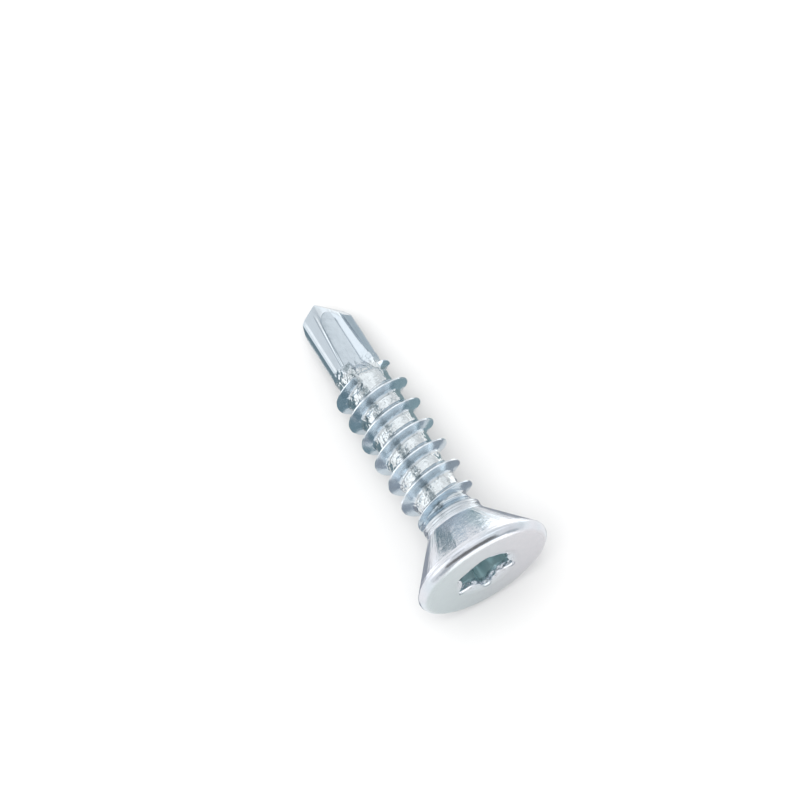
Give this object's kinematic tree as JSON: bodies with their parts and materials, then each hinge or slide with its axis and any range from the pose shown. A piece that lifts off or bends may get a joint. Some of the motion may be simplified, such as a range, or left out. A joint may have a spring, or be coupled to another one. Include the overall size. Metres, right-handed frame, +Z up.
{
  "type": "self-drilling screw",
  "caption": "Self-drilling tapping screw with a countersunk flat head, a hexalobular recess, a coarse rolled thread and a forged drill point, in bright zinc-plated steel.",
  "frame": {"origin": "centre of the lying screw's footprint, on the surface it lies on", "axes": "+X from the head towards the drill point, which dips towards the surface; +Z up; the screw lies on its head rim and on a thread crest"},
  "size_m": [0.0188, 0.0078, 0.0078],
  "materials": {
    "zinc_steel": "bright zinc plating, blue passivated"
  },
  "bodies": {
    "root": {"screw": "zinc_steel"}
  },
  "joints": []
}
